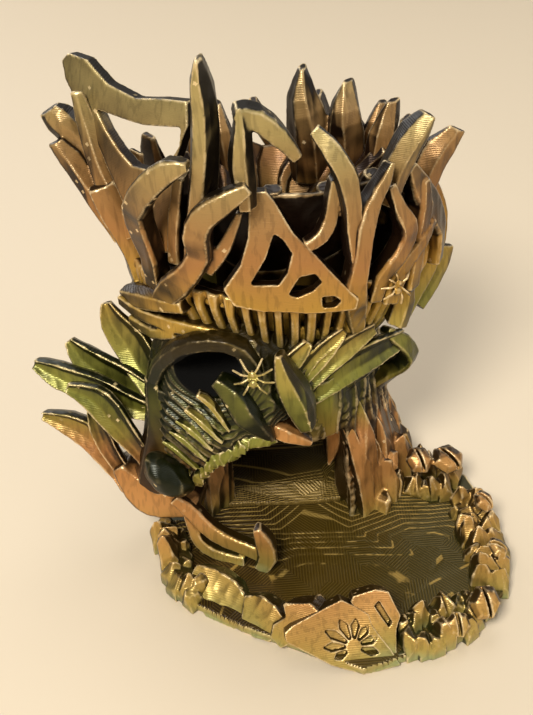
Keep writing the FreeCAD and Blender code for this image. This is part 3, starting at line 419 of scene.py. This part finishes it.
def infill_lines(tree, place, axes):
    """The top layer's strokes: fine parallel lines whose heading changes from patch to patch."""
    patches = tree.nodes.new("ShaderNodeTexVoronoi")
    patches.inputs["Scale"].default_value = PATCHES
    tree.links.new(vector_maths(tree, "MULTIPLY", place, (1.0, 1.0, 0.0)), patches.inputs["Vector"])
    pick = tree.nodes.new("ShaderNodeSeparateColor")
    tree.links.new(patches.outputs["Color"], pick.inputs[0])
    eighths = maths(tree, "FLOOR", maths(tree, "MULTIPLY", pick.outputs[0], 4.0))
    heading = maths(tree, "MULTIPLY", eighths, math.pi / 4)
    along = maths(tree, "MULTIPLY", axes["X"], maths(tree, "COSINE", heading))
    across = maths(tree, "MULTIPLY", axes["Y"], maths(tree, "SINE", heading))
    swept = maths(tree, "ADD", along, across)
    return maths(tree, "SINE", maths(tree, "MULTIPLY", swept, 2 * math.pi / STROKE_PITCH))


# ---------------------------------------------------------------- surface waves

def waves(count, length, seed, upright=1.0):
    """Random plane waves about a wavelength, as (direction over wavelength, phase, push) rows.

    A low upright share stretches the pattern along Z."""
    rng = random.Random(seed)
    rows = []
    for _ in range(count):
        heading = Vector([rng.gauss(0, 1), rng.gauss(0, 1), rng.gauss(0, 1) * upright]).normalized()
        push = Vector([rng.gauss(0, 1) for _ in range(3)]).normalized()
        wave = heading * (2 * math.pi / (length * rng.uniform(0.7, 1.4)))
        rows.append((wave, rng.uniform(0, 2 * math.pi), push))
    return rows


def field(points, rows):
    """The vector sum of plane waves at points, about unit size."""
    total = np.zeros_like(points)
    for heading, phase, push in rows:
        total += np.sin(points @ np.array(heading) + phase)[:, None] * np.array(push)
    return total / math.sqrt(len(rows) / 2)


SWAY = waves(7, 34 * MM, SEED)
RIPPLE = waves(9, 9 * MM, SEED + 1)
FLUTE = waves(7, 8 * MM, SEED + 2, upright=0.22)
MOSS = waves(9, 4 * MM, SEED + 3)
STEADY_BELOW = 8 * MM                     # the waves fade out from here down to the table
# Depths in mm.
SWAY_DEPTH = 0.7
RIPPLE_DEPTH = 0.20
FLUTE_DEPTH = 0.25
JITTER = 0.03                             # sideways, so that the mesh is never quite regular


# ---------------------------------------------------------------- carving

# Depths, pitches and moves in mm, but for the wrinkles' pitch in eye radii and the chin's slope.
WRINKLE_DEPTH = 0.28
WRINKLE_PITCH = 0.20
MOSS_DEPTH = 0.55
MOSS_IN_GUMS = 0.25
RIDGE_DEPTH = 0.5
TOOTH_PITCH = 3.3
BARK_DEPTH = 1.3
CHIN_SWELL = 0.6
CHIN_TOP = 44                             # below this height the chin leans out
CHIN_LEAN = 0.35
SPIDER_MOVE = (-1.3, 2.5, -0.9)


def vertex_rows(mesh, attribute):
    """A mesh's vertex places ("co") or normals ("normal"), one row each."""
    flat = np.empty(len(mesh.vertices) * 3)
    mesh.vertices.foreach_get(attribute, flat)
    return flat.reshape(-1, 3)


def set_points(mesh, points):
    """Move a mesh's vertices to new places."""
    mesh.vertices.foreach_set("co", points.ravel())
    mesh.update()


def remeshed(node, voxel, smooth):
    """A new object with a node's mesh closed into even quads."""
    obj = bpy.data.objects.new(node + "_print", nodes[node].data.copy())
    bpy.context.scene.collection.objects.link(obj)
    obj.data.materials.clear()
    weld = obj.modifiers.new("weld", "WELD")
    weld.merge_threshold = 0.001 * MM
    remesh = obj.modifiers.new("remesh", "REMESH")
    remesh.mode = "VOXEL"
    remesh.voxel_size = voxel
    soften = obj.modifiers.new("soften", "SMOOTH")
    soften.iterations = smooth
    evaluated = obj.evaluated_get(bpy.context.evaluated_depsgraph_get())
    mesh = bpy.data.meshes.new_from_object(evaluated)
    obj.modifiers.clear()
    obj.data = mesh
    return obj


def crusted(points, normals):
    """A skull's surface: wrinkles ringing the eye, ridges between the teeth, a crust further out."""
    ring = np.linalg.norm((points - np.array(EYE)) / np.array(EYE_RADII), axis=1)
    near = np.clip((ring - 1.05) / 0.15, 0, 1) * np.clip(2.1 - ring, 0, 1)
    wrinkles = np.sin(ring * 2 * math.pi / WRINKLE_PITCH) * near
    moss = (0.45 - np.abs(field(points, MOSS)[:, 0])) * np.clip(ring - 1.4, 0, 1)
    x, y, z = (points / MM).T
    gums = np.clip((-24 - x) / 5, 0, 1) * np.clip((81 - z) / 5, 0, 1) * np.clip((-36 - y) / 3, 0, 1)
    ridges = np.sin(2 * math.pi * (0.6 * x + 0.8 * z - 2.6) / TOOTH_PITCH) * gums
    moss_depth = MOSS_DEPTH - (MOSS_DEPTH - MOSS_IN_GUMS) * gums
    depth = wrinkles * WRINKLE_DEPTH + moss * moss_depth + ridges * RIDGE_DEPTH
    return points + normals * depth[:, None] * MM


def barked(points, normals):
    """A trunk's surface: upright creases between rounded ridges."""
    creases = 0.6 - np.abs(field(points, FLUTE)[:, :1]) - 0.35 * np.abs(field(points, MOSS)[:, :1])
    return points + normals * creases * BARK_DEPTH * MM


def lobed(points, normals):
    """A smooth lump drawn out to the lower right, with a few soft swells."""
    drawn = points.copy()
    drawn[:, 0] += CHIN_LEAN * (CHIN_TOP * MM - points[:, 2])
    return drawn + normals * field(points, RIPPLE)[:, :1] * CHIN_SWELL * MM


def settled(points, _):
    """The crown's spider, let down on to the ribbon behind it."""
    return points + np.array(SPIDER_MOVE) * MM


def carve(node, material, voxel, smooth, rough, shape):
    """A CAD node's printed look: remeshed, shaped if it has a shape, then swayed, rippled and fluted.

    The voxel is in mm; rough is the share of the ripples and flutes that the piece gets."""
    obj = remeshed(node, voxel * MM, smooth)
    mesh = obj.data
    if shape:
        set_points(mesh, shape(vertex_rows(mesh, "co"), vertex_rows(mesh, "normal")))
    points = vertex_rows(mesh, "co")
    normals = vertex_rows(mesh, "normal")
    ripples = field(points, RIPPLE)[:, :1] * (RIPPLE_DEPTH * rough)
    flutes = (0.5 - np.abs(field(points, FLUTE)[:, :1])) * (FLUTE_DEPTH * rough)
    jitter = np.random.default_rng(SEED).normal(scale=JITTER, size=points.shape)
    jitter -= normals * (jitter * normals).sum(axis=1, keepdims=True)
    push = field(points, SWAY) * SWAY_DEPTH + normals * (ripples + flutes) + jitter
    moved = points + push * MM * np.clip(points[:, 2:3] / STEADY_BELOW, 0, 1)
    moved[:, 2] = np.maximum(moved[:, 2], 0)
    set_points(mesh, moved)
    dress(obj, material)
    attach(obj, "root")
    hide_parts(node)


def dress(obj, material):
    """An object shaded smoothly in one material."""
    obj.data.materials.clear()
    obj.data.materials.append(material)
    obj.data.polygons.foreach_set("use_smooth", [True] * len(obj.data.polygons))


# ---------------------------------------------------------------- tray floor

CELL = 0.5 * MM                           # the floor's grid
SLACK = 0.1 * MM                          # heights this close are the same
LOOK_DOWN_FROM = 60 * MM
BLOCK_BOTTOM = 1.5 * MM
FACET_COUNT = 60
FACET_RISE = 1.3 * MM
WILD_FROM = -62 * MM                      # the ground grows rougher and rises from here to the mouth
WILD_REACH = 40 * MM
WILD_RISE = 3.2 * MM


def facets(rng, points, low, high):
    """Heights at points on a sheet of random flat facets between two corners of a plan box."""
    spots = [(rng.uniform(low[0], high[0]), rng.uniform(low[1], high[1])) for _ in range(FACET_COUNT)]
    spots += [(x, y) for x in (low[0], high[0]) for y in (low[1], high[1])]
    corners, _, triangles, *_ = delaunay_2d_cdt([Vector(spot) for spot in spots], [], [], 0, 1e-7)
    tops = np.array([rng.uniform(0, FACET_RISE) for _ in corners])
    sheet = np.zeros(len(points))
    for a, b, c in triangles:
        pa, pb, pc = (np.array(corners[i]) for i in (a, b, c))
        into_triangle = np.linalg.inv(np.column_stack((pb - pa, pc - pa)))
        share = (points - pa) @ into_triangle.T
        inside = (share[:, 0] >= -1e-6) & (share[:, 1] >= -1e-6) & (share.sum(axis=1) <= 1 + 1e-6)
        rise = tops[a] + share[:, 0] * (tops[b] - tops[a]) + share[:, 1] * (tops[c] - tops[a])
        sheet[inside] = rise[inside]
    return sheet


def terraced(height, step):
    """Heights pressed into print layers, with a short slope between two layers."""
    layer = np.floor(height / step)
    slope_from = 0.62
    ramp = np.clip((height / step - layer - slope_from) / (1 - slope_from), 0, 1)
    return (layer + ramp * ramp * (3 - 2 * ramp)) * step


def ground_under(grid):
    """The height of the tray or the exit ramp at each grid point, or -1 where there is neither."""
    view = bpy.context.evaluated_depsgraph_get()
    trees = [BVHTree.FromObject(nodes[name], view) for name in ("tray_base", "exit_ramp")]
    ground = np.full(len(grid), -1.0)
    for k, (x, y) in enumerate(grid):
        for tree in trees:
            hit = tree.ray_cast(Vector((x, y, LOOK_DOWN_FROM)), Vector((0, 0, -1)))[0]
            if hit:
                ground[k] = max(ground[k], hit.z)
    return ground


def make_tray_floor(material):
    """The tray's floor and the ramp behind it as one printed ground, stepped where it is shallow."""
    (west, south, _), (east, _, tray_top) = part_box("tray_base")
    (_, ramp_front, ramp_foot), (_, north, _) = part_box("exit_ramp")
    xs = np.arange(west, east, CELL)
    ys = np.arange(south, north, CELL)
    grid = np.array([(x, y) for y in ys for x in xs])
    ground = ground_under(grid)
    # Behind the ramp's front, the flat top of the tray's slab isn't floor. The sunk floor is filled up.
    on_tray = grid[:, 1] <= ramp_front
    keep = (ground > 0) & (on_tray | (ground < tray_top - SLACK) | (ground > tray_top + SLACK))
    ground = np.where(keep & (ground < tray_top - SLACK), tray_top, ground)
    near = np.clip((grid[:, 1] - WILD_FROM) / WILD_REACH, 0, 1)
    wild = facets(random.Random(SEED), grid, (west, south), (east, north)) * (0.6 + 1.6 * near)
    wild += WILD_RISE * near * near
    # The facets fade out between 3 and 9 mm up the ramp.
    wild *= np.clip((ramp_foot + 9 * MM - ground) / (6 * MM), 0, 1)
    top = terraced(ground + wild, GROUND_LAYER) + GROUND_LIFT
    sealed_block("tray_floor", grid, top, keep.reshape(len(ys), len(xs)), material)


def outline(quads):
    """The directed edges that only one quad has, in order."""
    edges = {}
    for quad in quads:
        for k in range(4):
            a, b = int(quad[k]), int(quad[(k + 1) % 4])
            if edges.pop((b, a), None) is None:
                edges[(a, b)] = True
    return list(edges)


def sealed_block(name, grid, top, keep, material):
    """A closed block over the kept points of a grid, flat below and shaped above."""
    cells = keep[:-1, :-1] & keep[1:, :-1] & keep[:-1, 1:] & keep[1:, 1:]
    index = np.arange(keep.size).reshape(keep.shape)
    quads = np.stack((index[:-1, :-1], index[:-1, 1:], index[1:, 1:], index[1:, :-1]), axis=-1)[cells]
    edges = outline(quads)
    used, quads = np.unique(quads, return_inverse=True)
    quads = quads.reshape(-1, 4)
    place = {int(old): new for new, old in enumerate(used)}
    count = len(used)
    upper = np.column_stack((grid[used], top[used]))
    lower = np.column_stack((grid[used], np.full(count, BLOCK_BOTTOM)))
    sides = [(place[b], place[a], place[a] + count, place[b] + count) for a, b in edges]
    faces = quads.tolist() + (quads[:, ::-1] + count).tolist() + sides
    mesh = bpy.data.meshes.new(name)
    mesh.from_pydata(np.vstack((upper, lower)).tolist(), [], faces)
    block = bpy.data.objects.new(name, mesh)
    bpy.context.scene.collection.objects.link(block)
    dress(block, material)
    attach(block, "root")
    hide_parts("exit_ramp")


# ---------------------------------------------------------------- the tower

make_camera()
make_studio()
make_floor()

silk_print = silk("silk_print")
# The nodes that aren't in silk_print.
LOOKS = (
    # A wider shade reach spreads the painted shade over more faces; silk_shade paints the tower's inner
    # pieces mostly in shade.
    (silk("silk_shade", shade_reach=0.25, edges=0.6),
     ("trunk_shell", "funnel", "drop_tube", "baffle_upper", "baffle_lower", "inner_roots")),
    (silk("silk_rock", shade_reach=0.06),
     ("columns_left", "columns_right", "columns_back", "rim_stones_right", "back_ribs", "back_spikes")),
    (silk("silk_leaf", shade_reach=0.14),
     ("frill_horn_1", "frill_horn_2", "frill_horn_3", "frill_horn_4", "frill_horn_6", "leaf_long",
      "nose_horn")),
    (silk("silk_skull", shade_reach=0.30, raised=-4, edges=0.4, eye=True), ("skull_mask", "eye_ridges")),
    (silk("silk_teeth", raised=12), ("upper_teeth",)),
    (silk("silk_gill", shade_reach=-0.14), ("gills",)),
    (silk("silk_bud", shade_reach=0.24, raised=-6, streaks=0.1), ("nose_bud", "cheek_bone")),
    (silk("silk_chin", shade_reach=0.50, raised=28, streaks=0.1), ("chin_boss",)),
    (silk("silk_beak", raised=-30), ("beak",)))
look_of = {node: look for look, members in LOOKS for node in members}

# Voxel sizes in mm: finer for small reliefs, coarser for large plain pieces.
VOXEL = 0.45
VOXELS = {"spider_skull": 0.3, "spider_crown": 0.3, "upper_teeth": 0.35, "mushroom_cap_spider": 0.35,
          "mushroom_cap_front": 0.35, "gills": 0.6, "crown_bowl": 0.6, "columns_back": 0.7,
          "drop_tube": 0.7, "funnel": 0.7, "baffle_lower": 0.8, "baffle_upper": 0.8, "tray_base": 0.8,
          "trunk_shell": 0.9}
# Rounds of smoothing: few keep a relief crisp, many make a round lump.
SMOOTH = 5
SMOOTHS = {"spider_skull": 1, "spider_crown": 1, "upper_teeth": 2, "mushroom_cap_spider": 3,
           "arm_left": 3, "beak": 6, "sail_plate": 7, "neck_boss": 8, "eye_ridges": 8, "cheek_bone": 10,
           "chin_boss": 10, "nose_bud": 20, "jaw_hinge": 24}
# The share of the ripples and flutes: none on plates and reliefs, all on rock, half on the rest.
PLAIN = {"spider_skull", "spider_crown", "mushroom_cap_spider", "mushroom_cap_front", "tray_base",
         "sail_plate", "root_panel", "gills"}
ROCKY = {"rim_stones_left", "rim_stones_front", "rim_stones_right", "rim_slabs", "columns_left",
         "columns_right", "columns_back", "trunk_shell"}
SHAPES = {"skull_mask": crusted, "trunk_shell": barked, "chin_boss": lobed, "spider_crown": settled}

make_tray_floor(silk_ground("silk_ground"))
for node in sorted(set(nodes) - {"exit_ramp"}):
    rough = 0.0 if node in PLAIN else 1.0 if node in ROCKY else 0.5
    carve(node, look_of.get(node, silk_print), VOXELS.get(node, VOXEL), SMOOTHS.get(node, SMOOTH),
          rough, SHAPES.get(node))
